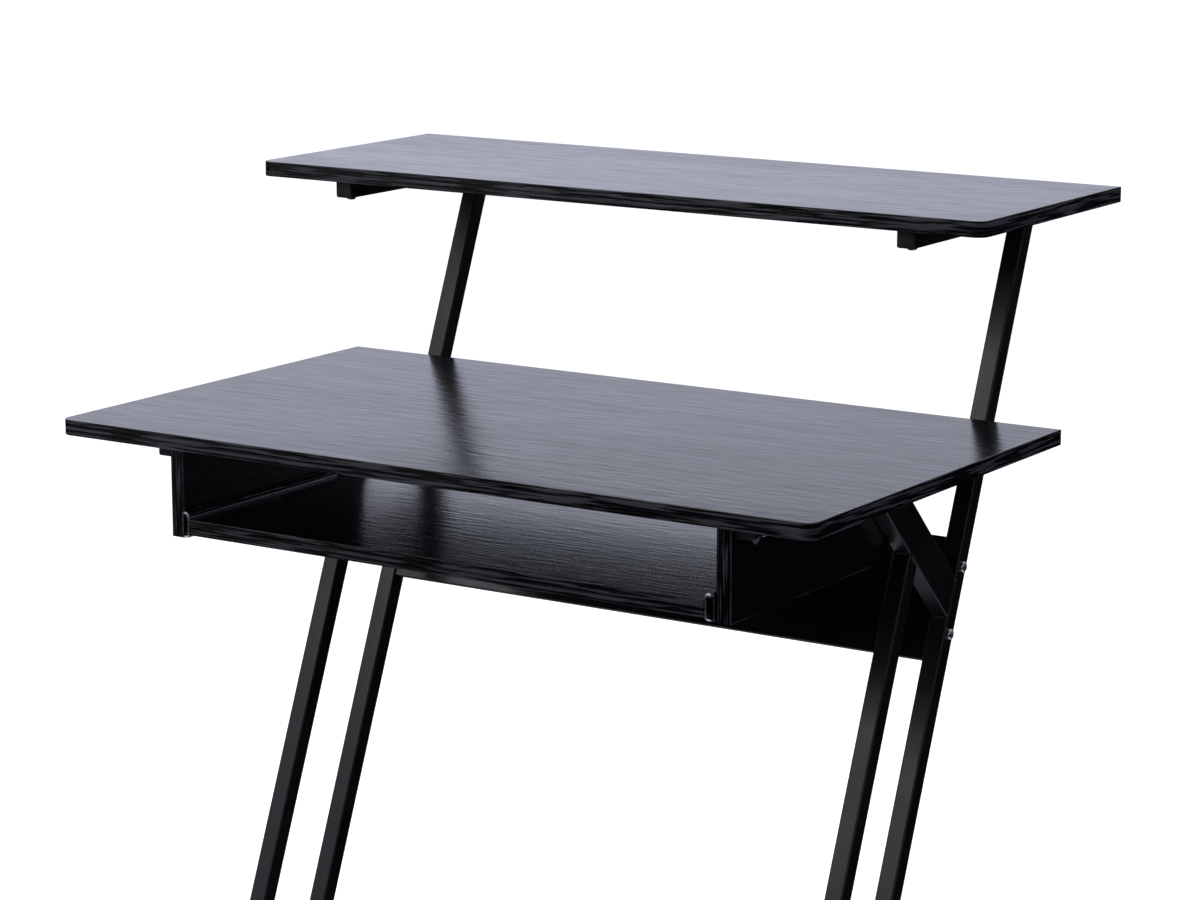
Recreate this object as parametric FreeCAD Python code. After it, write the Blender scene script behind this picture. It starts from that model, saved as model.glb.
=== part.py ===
"""Computer desk: two welded Z-shaped side frames of steel tube carry a desktop, a raised monitor
shelf and a modesty panel, and a keyboard tray runs on ball-bearing slides between two side panels
hung under the desktop.

Millimetres. +X is to the user's right, +Y to the back, +Z up. The origin is on the floor, in the
middle of the overall width and depth. Setbacks are measured backwards from the desktop's front
edge, drops downwards from the desktop's top face.
"""
import FreeCAD, Part
import math
import os

Vector = FreeCAD.Vector

# --- Boards ---------------------------------------------------------------------------------------
BOARD = 16.0                 # thickness of every particle board
EDGE_BAND = 1.0              # plastic strip glued round the edges of a board
DESK_WIDTH = 880.0
DESK_DEPTH = 505.0
DESK_HEIGHT = 740.0          # floor to the desktop's top face
CORNER_RADIUS = 13.0         # front corners of the desktop and the shelf
SHELF_WIDTH = 872.0
SHELF_DEPTH = 310.0
SHELF_SETBACK = 330.0
SHELF_RISE = 230.0           # desktop's top face to the shelf's top face
SIDE_PANEL_DEPTH = 304.0
SIDE_PANEL_SETBACK = 43.0
SIDE_PANEL_MARGIN = 1.5      # slide's lower edge to the side panel's lower edge
MODESTY_HEIGHT = 128.0
MODESTY_DROP = 126.0         # down the rear leg, from the level of the desktop's top face

# --- Steel frames ---------------------------------------------------------------------------------
FRAME_WIDTH = 702.0          # outer face to outer face of the two side frames
TUBE = 20.0                  # square tube, side
TUBE_WALL = 1.2
TUBE_CORNER = 2.0            # outer corner radius of the tube
LEG_LEAN = 22.0              # degrees that both legs lean back from upright
REAR_LEG_GAP = 12.0          # desktop's back edge to the rear leg, at the desktop's top face
LEG_SPACING = 117.0          # front face of the front leg to front face of the rear leg, level
BRACE_SLOPE = 45.0           # degrees below level, going back
BRACE_DEPTH = 40.0           # the brace is a deeper tube of the same width
BRACE_RUN = 235.0            # brace's lower face on the desk arm, ahead of the rear leg's plane
DESK_ARM_SETBACK = 48.0
SHELF_ARM_INSET = 22.0       # shelf's front edge to the front end of its arm
SHELF_ARM_TAIL = 15.0        # back face of the rear leg to the back end of the shelf arm
RUNNER_TOE = 30.0            # front leg's foot to the front end of the runner
RUNNER_HEEL = 15.0           # back end of the runner to the shelf's back edge
CROSSBAR_INSET = 50.0        # back end of a runner to the back face of the crossbar
PLUG_CAP = 2.0               # plastic end plug: its visible cap
PLUG_EDGE = 0.5              # rounding of that cap's rim
PLUG_DEPTH = 12.0            # and how far its body reaches into the tube
PLUG_GAP = 0.15              # clearance of that body, each side
FOOT_HEIGHT = 15.0           # floor to the underside of a runner

# --- Keyboard tray and its ball-bearing slides ----------------------------------------------------
TRAY_DEPTH = 300.0
TRAY_SETBACK = 37.0
TRAY_DROP = 96.0             # desktop's top face to the tray's top face
SLIDE_RISE = 2.0             # middle of the tray's thickness to the middle of a slide
SLIDE_LENGTH = 246.0
SLIDE_SETBACK = 40.0
SLIDE_GAP = 10.0             # side panel to tray, the thickness of a slide
SLIDE_TRAVEL = 175.0
SLIDE_WALL = 1.2
BEND_SHARE = 0.9             # outer radius of a rolled bend, as a share of its wall
OUTER_HEIGHT = 27.0          # member on the side panel
OUTER_TIP_GAP = 2.0          # its flanges to the tray
INNER_HEIGHT = 19.0          # member on the tray
INNER_TIP_GAP = 0.7          # its flanges to the cage
CAGE_WALL = 0.6
CAGE_SIDE_GAP = 1.0          # cage to the web of the outer member
CAGE_TIP_GAP = 1.6           # cage's flanges to the web of the inner member
CAGE_END_GAP = 2.0           # cage to the end of each member with the tray right out
BALL_GAP = 0.3               # ball to each member
BALL_POCKET_GAP = 0.1        # ball to the edge of its pocket
BALL_PITCH = 10.0
BALL_END = 6.0               # cage end to the first ball

# --- Feet -----------------------------------------------------------------------------------------
FOOT_INSET = 20.0            # end of a runner to the middle of a foot
FOOT_PAD_RADIUS = 14.0
FOOT_PAD_HEIGHT = 5.0
FOOT_NECK_RADIUS = 8.0
FOOT_STEM_RADIUS = 4.0
FOOT_STEM_GAP = 2.8          # stem to the upper wall of the runner
FOOT_EDGE = 1.2
THREAD_GAP = 0.05            # stem to its threaded insert, each side
INSERT_RADIUS = 5.5
INSERT_TOP_GAP = 4.8         # insert to the upper wall of the runner
INSERT_FLANGE_RADIUS = 7.5
INSERT_FLANGE = 1.5
FOOT_STOP_GAP = 0.5          # top of a screwed-in foot to its insert

# --- Fasteners ------------------------------------------------------------------------------------
HOLE_GAP = 0.3               # shank to a clearance hole, each side
HOLE_END_GAP = 1.0           # tip of a bolt to the end of its blind hole
SCREW_RADIUS = 2.25          # wood screws that hold the desktop and the shelf
SCREW_HEAD_RADIUS = 5.0
SCREW_HEAD = 3.0
SCREW_BITE = 11.0            # how far they reach into a board
DESK_SCREW_FRONT = 32.0      # front end of the desk arm to its first screw
DESK_SCREW_BRACE_GAP = 61.0  # second screw to the brace
DESK_SCREW_BACK = 57.0       # third screw to the desktop's back edge
SHELF_SCREW_FRONT = 14.0     # front end of the shelf arm to its first screw
SHELF_SCREW_LEG_GAP = 38.0   # second screw to the rear leg
BOLT_RADIUS = 3.0
BOLT_HEAD_RADIUS = 5.6
BOLT_HEAD = 3.6
MODESTY_BOLT_INSET = 27.5    # top edge of the modesty panel to its first bolt
MODESTY_BOLT_PITCH = 70.0
MODESTY_BOLT_BITE = 36.0
BARREL_RADIUS = 5.0
BARREL_COVER = 2.0           # board left in front of a barrel nut
BARREL_SETBACK = 28.0        # end of the modesty panel to a barrel nut
BARREL_SINK = 1.0            # barrel nut below the panel's back face
CROSSBAR_PLUG = 18.0         # threaded plug in each end of the crossbar
CAM_RADIUS = 7.5
CAM_DEPTH = 12.0
CAM_SINK = 0.2               # cam's face below the panel's outer face
CAM_DROP = 26.0              # top edge of a side panel to a cam's middle
CAM_INSET_FRONT = 45.0       # front edge of a side panel to a cam's middle
CAM_INSET_BACK = 100.0       # and back edge, clear of the brace
CAM_PIN_RADIUS = 3.0
CAM_SLOT = 1.0               # cross slot in a cam's face, its width and depth
CAM_CROSS = 8.0              # and its length
SLIDE_SCREW_RADIUS = 1.6
SLIDE_SCREW_HEAD_RADIUS = 3.2
SLIDE_SCREW_HEAD = 1.6
SLIDE_SCREW_BITE = 11.0
SLIDE_SCREW_INSETS = (20.0, 123.0, 226.0)    # along a slide, from its front end
SOCKET_ACROSS = 4.0          # hexagon key size of the larger heads
SOCKET_DEPTH = 2.0
HEAD_EDGE = 1.2              # rounding of the larger heads

# --- Derived levels and planes --------------------------------------------------------------------
LEAN = math.tan(math.radians(LEG_LEAN))
LEG_SECTION = TUBE / math.cos(math.radians(LEG_LEAN))    # a leg's depth, measured level
OVERALL_DEPTH = SHELF_SETBACK + SHELF_DEPTH
DESK_FRONT = -OVERALL_DEPTH / 2
DESK_UNDER = DESK_HEIGHT - BOARD
ARM_UNDER = DESK_UNDER - TUBE
SHELF_TOP = DESK_HEIGHT + SHELF_RISE
SHELF_UNDER = SHELF_TOP - BOARD
SHELF_ARM_UNDER = SHELF_UNDER - TUBE
RUNNER_TOP = FOOT_HEIGHT + TUBE
REAR_LEG_SETBACK = DESK_DEPTH + REAR_LEG_GAP
FRONT_LEG_SETBACK = REAR_LEG_SETBACK - LEG_SPACING
BRACE_SETBACK = REAR_LEG_SETBACK - BRACE_RUN
LEG_HEAD_SETBACK = REAR_LEG_SETBACK + LEAN * (SHELF_ARM_UNDER - DESK_HEIGHT)
SHELF_ARM_SETBACK = SHELF_SETBACK + SHELF_ARM_INSET
SHELF_ARM_LENGTH = LEG_HEAD_SETBACK + LEG_SECTION + SHELF_ARM_TAIL - SHELF_ARM_SETBACK
FRAME_OUTER = FRAME_WIDTH / 2
FRAME_INNER = FRAME_OUTER - TUBE
PANEL_INNER = FRAME_INNER - BOARD
TRAY_SIDE = PANEL_INNER - SLIDE_GAP
TRAY_TOP = DESK_HEIGHT - TRAY_DROP
SLIDE_MIDDLE = TRAY_TOP - BOARD / 2 + SLIDE_RISE
SLIDE_FRONT = DESK_FRONT + SLIDE_SETBACK
SIDE_PANEL_UNDER = SLIDE_MIDDLE - OUTER_HEIGHT / 2 - SIDE_PANEL_MARGIN
SIDE_PANEL_HEIGHT = DESK_UNDER - SIDE_PANEL_UNDER
FRONT_LEG_FOOT = FRONT_LEG_SETBACK - LEAN * (DESK_HEIGHT - RUNNER_TOP)
RUNNER_FRONT = DESK_FRONT + FRONT_LEG_FOOT - RUNNER_TOE
RUNNER_BACK = DESK_FRONT + OVERALL_DEPTH - RUNNER_HEEL
RUNNER_LENGTH = RUNNER_BACK - RUNNER_FRONT
SLIDE_SCREW_YS = [SLIDE_FRONT + inset for inset in SLIDE_SCREW_INSETS]
DESK_SCREW_SETBACKS = (DESK_ARM_SETBACK + DESK_SCREW_FRONT, BRACE_SETBACK - DESK_SCREW_BRACE_GAP,
                       DESK_DEPTH - DESK_SCREW_BACK)
SHELF_SCREW_SETBACKS = (SHELF_ARM_SETBACK + SHELF_SCREW_FRONT,
                        LEG_HEAD_SETBACK - SHELF_SCREW_LEG_GAP)
BARREL_LENGTH = BOARD - BARREL_SINK - BARREL_COVER

LEG_FRAME = FreeCAD.Rotation(Vector(1, 0, 0), -LEG_LEAN)
BRACE_FRAME = FreeCAD.Rotation(Vector(1, 0, 0), 90 - BRACE_SLOPE)
BACKWARDS = FreeCAD.Rotation(Vector(1, 0, 0), -90)
REACH = 2000.0               # longer than anything in the desk, for half spaces and tube blanks
NEAR = 0.01                  # two places closer than this are the same


# --- Shapes that several pieces share -------------------------------------------------------------
def place(shape, rotation, x, y, z):
    """Copy of a shape built at the origin, turned, then moved."""
    moved = shape.copy()
    moved.Placement = FreeCAD.Placement(Vector(x, y, z), rotation)
    return moved


def box(x_low, x_high, y_low, y_high, z_low, z_high):
    """Block between two corners."""
    return Part.makeBox(x_high - x_low, y_high - y_low, z_high - z_low, Vector(x_low, y_low, z_low))


def rod(radius, start, direction, length):
    """Cylinder from a point, along a direction."""
    return Part.makeCylinder(radius, length, start, direction)


def mirrored(shape):
    """The same piece on the left side."""
    return shape.mirror(Vector(0, 0, 0), Vector(1, 0, 0))


def save(node, shape):
    """One STEP file per node."""
    shape.exportStep("parts/%s.step" % node)


def save_pair(node, shape):
    """A right piece and its left twin, as two nodes."""
    save("right_" + node, shape)
    save("left_" + node, mirrored(shape))


def save_group(node, shapes):
    """Right pieces and their left twins, as separate solids of one node."""
    save(node, Part.makeCompound(shapes + [mirrored(shape) for shape in shapes]))


def rounded_bar(width, depth, radius, length):
    """Bar along +Z with its corner edges rounded, one corner of its section at the origin."""
    bar = Part.makeBox(width, depth, length)
    upright = [e for e in bar.Edges if abs(e.Vertexes[0].Z - e.Vertexes[1].Z) > length / 2]
    return bar.makeFillet(radius, upright)


def tube(depth, length):
    """Steel tube along +Z, TUBE wide."""
    bore = rounded_bar(TUBE - 2 * TUBE_WALL, depth - 2 * TUBE_WALL, TUBE_CORNER - TUBE_WALL, length)
    bore.translate(Vector(TUBE_WALL, TUBE_WALL, 0))
    return rounded_bar(TUBE, depth, TUBE_CORNER, length).cut(bore)


def leg_space(setback):
    """Everything behind the front face of a leg, given that face's setback."""
    half = Part.makeBox(REACH, REACH, 2 * REACH, Vector(-REACH / 2, 0, -REACH))
    return place(half, LEG_FRAME, 0, DESK_FRONT + setback, DESK_HEIGHT)


def brace_space():
    """Everything above the lower face of the brace."""
    half = Part.makeBox(REACH, REACH, 2 * REACH, Vector(-REACH / 2, 0, -REACH))
    return place(half, BRACE_FRAME, 0, DESK_FRONT + BRACE_SETBACK, ARM_UNDER)


def above(z):
    """Everything above a level."""
    return box(-REACH, REACH, -REACH, REACH, z, REACH)


def below(z):
    """Everything below a level."""
    return box(-REACH, REACH, -REACH, REACH, -REACH, z)


def plug(socket_side):
    """End plug along +Z: its cap stands outside the tube, its body reaches inside."""
    body_side = socket_side - 2 * PLUG_GAP
    body = rounded_bar(body_side, body_side, TUBE_CORNER - TUBE_WALL, PLUG_DEPTH)
    body.translate(Vector(TUBE_WALL + PLUG_GAP, TUBE_WALL + PLUG_GAP, PLUG_CAP))
    cap = rounded_bar(TUBE, TUBE, TUBE_CORNER, PLUG_CAP)
    rim = [e for e in cap.Edges if max(v.Z for v in e.Vertexes) < PLUG_EDGE]
    return cap.makeFillet(PLUG_EDGE, rim).fuse(body)


def hexagon(across, height):
    """Hexagonal prism up from the origin."""
    radius = across / math.sqrt(3)
    corners = [Vector(radius * math.cos(math.radians(a)), radius * math.sin(math.radians(a)), 0)
               for a in range(0, 361, 60)]
    return Part.Face(Part.makePolygon(corners)).extrude(Vector(0, 0, height))


def headed(head_radius, head, shank_radius, length):
    """Screw or bolt along +Z: the head hangs below the origin, with a key socket, the shank rises."""
    cap = Part.makeCylinder(head_radius, head, Vector(0, 0, -head))
    rim = [e for e in cap.Edges if e.Closed and e.Vertexes[0].Z < -head / 2]
    cap = cap.makeFillet(HEAD_EDGE, rim)
    socket = hexagon(SOCKET_ACROSS, SOCKET_DEPTH)
    socket.translate(Vector(0, 0, -head))
    return cap.cut(socket).fuse(Part.makeCylinder(shank_radius, length))


def outline(half_width, y_front, y_back, radius):
    """Outline of a top board: straight back corners, round front corners."""
    left, right = -half_width, half_width
    bend = radius * (1 - math.sqrt(0.5))
    edges = [
        Part.LineSegment(Vector(left, y_back, 0), Vector(left, y_front + radius, 0)),
        Part.Arc(Vector(left, y_front + radius, 0), Vector(left + bend, y_front + bend, 0),
                 Vector(left + radius, y_front, 0)),
        Part.LineSegment(Vector(left + radius, y_front, 0), Vector(right - radius, y_front, 0)),
        Part.Arc(Vector(right - radius, y_front, 0), Vector(right - bend, y_front + bend, 0),
                 Vector(right, y_front + radius, 0)),
        Part.LineSegment(Vector(right, y_front + radius, 0), Vector(right, y_back, 0)),
        Part.LineSegment(Vector(right, y_back, 0), Vector(left, y_back, 0)),
    ]
    return Part.Wire([edge.toShape() for edge in edges])


def top_board(width, y_front, depth, z_top):
    """Round-cornered board and the edge band glued round it."""
    def slab(inset):
        wire = outline(width / 2 - inset, y_front + inset, y_front + depth - inset,
                       CORNER_RADIUS - inset)
        return Part.Face(wire).extrude(Vector(0, 0, BOARD))
    core = slab(EDGE_BAND)
    band = slab(0).cut(core)
    for piece in (core, band):
        piece.translate(Vector(0, 0, z_top - BOARD))
    return core, band


def panel(size_x, size_y, size_z, thin):
    """Rectangular board from the origin and its edge band; thin names the axis across its faces."""
    sizes = {"x": size_x, "y": size_y, "z": size_z}
    inset = {axis: 0 if axis == thin else EDGE_BAND for axis in sizes}
    core = Part.makeBox(size_x - 2 * inset["x"], size_y - 2 * inset["y"], size_z - 2 * inset["z"],
                        Vector(inset["x"], inset["y"], inset["z"]))
    return core, Part.makeBox(size_x, size_y, size_z).cut(core)


# --- Side frames: legs, arms, braces and floor runners --------------------------------------------
def long_tube(depth, frame, setback, z):
    """Right-hand tube along the Z of a turned frame, with a point of its front face at its middle."""
    blank = place(tube(depth, REACH), frame, FRAME_INNER, DESK_FRONT + setback, z)
    blank.translate(frame.multVec(Vector(0, 0, -REACH / 2)))
    return blank


def leg(setback, low_level):
    """Leaning tube of a right leg, cut level at the given height, not yet cut at the top."""
    return long_tube(TUBE, LEG_FRAME, setback, DESK_HEIGHT).cut(below(low_level))


def along_y(length, y_front, z_top):
    """Level tube on the right side, from front to back."""
    return place(tube(TUBE, length), BACKWARDS, FRAME_INNER, y_front, z_top)


def plug_at(y_face, z_top, facing_front):
    """End plug on a level tube: y_face is its visible face."""
    shape = place(plug(TUBE - 2 * TUBE_WALL), BACKWARDS, FRAME_INNER, 0, z_top)
    if not facing_front:
        shape = shape.mirror(Vector(0, 0, 0), Vector(0, 1, 0))
    shape.translate(Vector(0, y_face, 0))
    return shape


def build_frames():
    """Right-hand tubes by name, before their screw holes, and their end plugs by group."""
    arm_front = DESK_FRONT + DESK_ARM_SETBACK
    shelf_front = DESK_FRONT + SHELF_ARM_SETBACK
    shelf_back = shelf_front + SHELF_ARM_LENGTH
    tubes = {
        "rear_leg": leg(REAR_LEG_SETBACK, RUNNER_TOP).cut(above(SHELF_ARM_UNDER)),
        "front_leg": leg(FRONT_LEG_SETBACK, RUNNER_TOP).cut(brace_space()),
        "brace": long_tube(BRACE_DEPTH, BRACE_FRAME, BRACE_SETBACK, ARM_UNDER).cut(
            above(ARM_UNDER)).cut(leg_space(REAR_LEG_SETBACK)),
        "desk_arm": along_y(DESK_DEPTH + TUBE, arm_front + PLUG_CAP, DESK_UNDER).cut(
            leg_space(REAR_LEG_SETBACK)),
        "shelf_arm": along_y(SHELF_ARM_LENGTH - 2 * PLUG_CAP, shelf_front + PLUG_CAP, SHELF_UNDER),
        "floor_runner": along_y(RUNNER_LENGTH - 2 * PLUG_CAP, RUNNER_FRONT + PLUG_CAP, RUNNER_TOP),
    }
    plugs = {
        "desk_arm_plugs": [plug_at(arm_front, DESK_UNDER, True)],
        "shelf_arm_plugs": [plug_at(shelf_front, SHELF_UNDER, True),
                            plug_at(shelf_back, SHELF_UNDER, False)],
        "floor_runner_plugs": [plug_at(RUNNER_FRONT, RUNNER_TOP, True),
                               plug_at(RUNNER_BACK, RUNNER_TOP, False)],
    }
    return tubes, plugs


# --- Boards ---------------------------------------------------------------------------------------
def build_boards():
    """Boards that span the desk, each with its edge band."""
    boards = {
        "desktop": top_board(DESK_WIDTH, DESK_FRONT, DESK_DEPTH, DESK_HEIGHT),
        "monitor_shelf": top_board(SHELF_WIDTH, DESK_FRONT + SHELF_SETBACK, SHELF_DEPTH, SHELF_TOP),
        "keyboard_tray": panel(2 * TRAY_SIDE, TRAY_DEPTH, BOARD, "z"),
        "modesty_panel": panel(2 * FRAME_INNER, BOARD, MODESTY_HEIGHT, "y"),
        "side_panel": panel(BOARD, SIDE_PANEL_DEPTH, SIDE_PANEL_HEIGHT, "x"),
    }
    for piece in boards["keyboard_tray"]:
        piece.translate(Vector(-TRAY_SIDE, DESK_FRONT + TRAY_SETBACK, TRAY_TOP - BOARD))
    for piece in boards["side_panel"]:
        piece.translate(Vector(PANEL_INNER, DESK_FRONT + SIDE_PANEL_SETBACK, SIDE_PANEL_UNDER))
    start = LEG_FRAME.multVec(Vector(0, (TUBE - BOARD) / 2, -MODESTY_DROP - MODESTY_HEIGHT))
    for piece in boards["modesty_panel"]:
        piece.Placement = FreeCAD.Placement(
            Vector(-FRAME_INNER, DESK_FRONT + REAR_LEG_SETBACK + start.y, DESK_HEIGHT + start.z),
            LEG_FRAME)
    return {node: list(pair) for node, pair in boards.items()}


# --- Screws up through the arms into the desktop and the shelf ------------------------------------
def arm_screws(setbacks, arm_under):
    """Screws up through a right arm, their holes in the arm, and their holes in the board."""
    screws, arm_holes, board_holes = [], [], []
    for setback in setbacks:
        x = FRAME_INNER + TUBE / 2
        y = DESK_FRONT + setback
        screw = headed(SCREW_HEAD_RADIUS, SCREW_HEAD, SCREW_RADIUS, TUBE + SCREW_BITE)
        screws.append(place(screw, FreeCAD.Rotation(), x, y, arm_under))
        up = Vector(0, 0, 1)
        arm_holes.append(rod(SCREW_RADIUS + HOLE_GAP, Vector(x, y, arm_under), up, TUBE))
        board_holes.append(rod(SCREW_RADIUS, Vector(x, y, arm_under + TUBE), up, SCREW_BITE))
    return screws, arm_holes, board_holes


# --- Bolts through the rear legs into the modesty panel -------------------------------------------
def modesty_fixings():
    """Right bolts and barrel nuts, with the holes for them in the leg and the panel."""
    inward = Vector(-1, 0, 0)
    across = LEG_FRAME.multVec(Vector(0, 1, 0))
    bolts, nuts, leg_holes, panel_holes = [], [], [], []
    for step in range(2):
        drop = MODESTY_DROP + MODESTY_BOLT_INSET + step * MODESTY_BOLT_PITCH
        middle = LEG_FRAME.multVec(Vector(0, TUBE / 2, -drop))
        head = Vector(FRAME_OUTER, DESK_FRONT + REAR_LEG_SETBACK + middle.y, DESK_HEIGHT + middle.z)
        bolt = headed(BOLT_HEAD_RADIUS, BOLT_HEAD, BOLT_RADIUS, TUBE + MODESTY_BOLT_BITE)
        turn = FreeCAD.Rotation(Vector(0, 0, 1), inward)
        bolts.append(place(bolt, turn, head.x, head.y, head.z))
        leg_holes.append(rod(BOLT_RADIUS + HOLE_GAP, head, inward, TUBE))
        entry = head + inward * TUBE
        panel_holes.append(rod(BOLT_RADIUS + HOLE_GAP, entry, inward,
                               MODESTY_BOLT_BITE + HOLE_END_GAP))
        nut_end = entry + inward * BARREL_SETBACK + across * (BOARD / 2 - BARREL_SINK)
        nut = rod(BARREL_RADIUS, nut_end, across * -1, BARREL_LENGTH)
        nuts.append(nut.cut(rod(BOLT_RADIUS, entry, inward, MODESTY_BOLT_BITE)))
        panel_holes.append(rod(BARREL_RADIUS, nut_end + across * (2 * BARREL_SINK), across * -1,
                               BARREL_LENGTH + 2 * BARREL_SINK))
    return bolts, nuts, leg_holes, panel_holes


# --- Cam locks that hang the side panels from the desktop -----------------------------------------
def slot_at(face, size_y, size_z):
    """Block to cut from a cam's face, CAM_SLOT deep."""
    return box(face.x - CAM_SLOT, face.x, face.y - size_y / 2, face.y + size_y / 2,
               face.z - size_z / 2, face.z + size_z / 2)


def panel_cams():
    """Right cams and their pins, with their holes in the side panel and the desktop."""
    x_pin = FRAME_INNER - BOARD / 2
    z = DESK_UNDER - CAM_DROP
    panel_front = DESK_FRONT + SIDE_PANEL_SETBACK
    cams, pins, panel_holes, desk_holes = [], [], [], []
    for y in (panel_front + CAM_INSET_FRONT, panel_front + SIDE_PANEL_DEPTH - CAM_INSET_BACK):
        face = Vector(FRAME_INNER - CAM_SINK, y, z)
        cam = rod(CAM_RADIUS, face, Vector(-1, 0, 0), CAM_DEPTH)
        pin_hole = rod(CAM_PIN_RADIUS + HOLE_GAP, Vector(x_pin, y, z), Vector(0, 0, 1), CAM_DROP)
        cross = slot_at(face, CAM_CROSS, CAM_SLOT).fuse(slot_at(face, CAM_SLOT, CAM_CROSS))
        cams.append(cam.cut(pin_hole).cut(cross))
        pins.append(rod(CAM_PIN_RADIUS, Vector(x_pin, y, z), Vector(0, 0, 1),
                        CAM_DROP + SCREW_BITE))
        panel_holes.append(rod(CAM_RADIUS, face + Vector(2 * CAM_SINK, 0, 0), Vector(-1, 0, 0),
                               CAM_DEPTH + 2 * CAM_SINK))
        panel_holes.append(pin_hole)
        desk_holes.append(rod(CAM_PIN_RADIUS, Vector(x_pin, y, DESK_UNDER), Vector(0, 0, 1),
                              SCREW_BITE))
    return cams, pins, panel_holes, desk_holes


# --- Ball-bearing slides --------------------------------------------------------------------------
def channel(x_web, toward, wall, reach, height, y_start, length):
    """C-shaped strip along Y: a web at x_web, and two flanges that reach toward +X or -X."""
    x_far = x_web + toward * reach
    x_in = x_web + toward * wall
    half = height / 2
    body = box(min(x_web, x_far), max(x_web, x_far), y_start, y_start + length,
               SLIDE_MIDDLE - half, SLIDE_MIDDLE + half)
    hollow = box(min(x_in, x_far), max(x_in, x_far), y_start, y_start + length,
                 SLIDE_MIDDLE - half + wall, SLIDE_MIDDLE + half - wall)
    bends = [e for e in body.Edges
             if abs(e.Vertexes[0].X - x_web) < NEAR and abs(e.Vertexes[1].X - x_web) < NEAR
             and abs(e.Vertexes[0].Y - e.Vertexes[1].Y) > length / 2]
    return body.makeFillet(wall * BEND_SHARE, bends).cut(hollow)


def build_slides():
    """Right slide: both members, cage, balls, and the screws to the side panel and the tray."""
    cage_room = SLIDE_GAP - SLIDE_WALL - CAGE_SIDE_GAP
    inner_reach = cage_room - CAGE_WALL - INNER_TIP_GAP
    cage_reach = cage_room - SLIDE_WALL - CAGE_TIP_GAP
    outer = channel(PANEL_INNER, -1, SLIDE_WALL, SLIDE_GAP - OUTER_TIP_GAP, OUTER_HEIGHT,
                    SLIDE_FRONT, SLIDE_LENGTH)
    inner = channel(TRAY_SIDE, 1, SLIDE_WALL, inner_reach, INNER_HEIGHT, SLIDE_FRONT, SLIDE_LENGTH)

    race = OUTER_HEIGHT / 2 - SLIDE_WALL - INNER_HEIGHT / 2
    ball_radius = race / 2 - BALL_GAP
    ball_rise = INNER_HEIGHT / 2 + race / 2
    cage_start = SLIDE_FRONT + SLIDE_TRAVEL / 2 + CAGE_END_GAP
    cage_length = SLIDE_LENGTH - SLIDE_TRAVEL - 2 * CAGE_END_GAP
    cage_web = TRAY_SIDE + cage_room
    cage = channel(cage_web, -1, CAGE_WALL, cage_reach, 2 * ball_rise + CAGE_WALL, cage_start,
                   cage_length)
    x_ball = cage_web - (cage_reach + CAGE_WALL) / 2
    ball_count = int((cage_length - 2 * BALL_END) / BALL_PITCH) + 1
    balls = []
    for rise in (-ball_rise, ball_rise):
        for number in range(ball_count):
            centre = Vector(x_ball, cage_start + BALL_END + number * BALL_PITCH, SLIDE_MIDDLE + rise)
            balls.append(Part.makeSphere(ball_radius, centre))
            pocket = rod(ball_radius + BALL_POCKET_GAP, centre - Vector(0, 0, CAGE_WALL),
                         Vector(0, 0, 1), 2 * CAGE_WALL)
            cage = cage.cut(pocket)

    panel_screws, tray_screws, tray_holes = [], [], []
    head_x = PANEL_INNER - SLIDE_WALL
    for y in SLIDE_SCREW_YS:
        face = Vector(head_x, y, SLIDE_MIDDLE)
        cone = Part.makeCone(SLIDE_SCREW_HEAD_RADIUS, SLIDE_SCREW_RADIUS, SLIDE_SCREW_HEAD, face,
                             Vector(1, 0, 0))
        shank = rod(SLIDE_SCREW_RADIUS, face, Vector(1, 0, 0), SLIDE_SCREW_BITE)
        panel_screws.append(cone.fuse(shank))
        seat = Vector(TRAY_SIDE + SLIDE_WALL, y, SLIDE_MIDDLE)
        cap = rod(SLIDE_SCREW_HEAD_RADIUS, seat, Vector(1, 0, 0), SLIDE_SCREW_HEAD)
        thread = rod(SLIDE_SCREW_RADIUS, seat, Vector(-1, 0, 0), SLIDE_SCREW_BITE)
        tray_screws.append(cap.fuse(thread))
        tray_holes.append(thread)
    return {"outer": outer, "inner": inner, "cage": cage, "balls": balls,
            "panel_screws": panel_screws, "tray_screws": tray_screws, "tray_holes": tray_holes}


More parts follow.
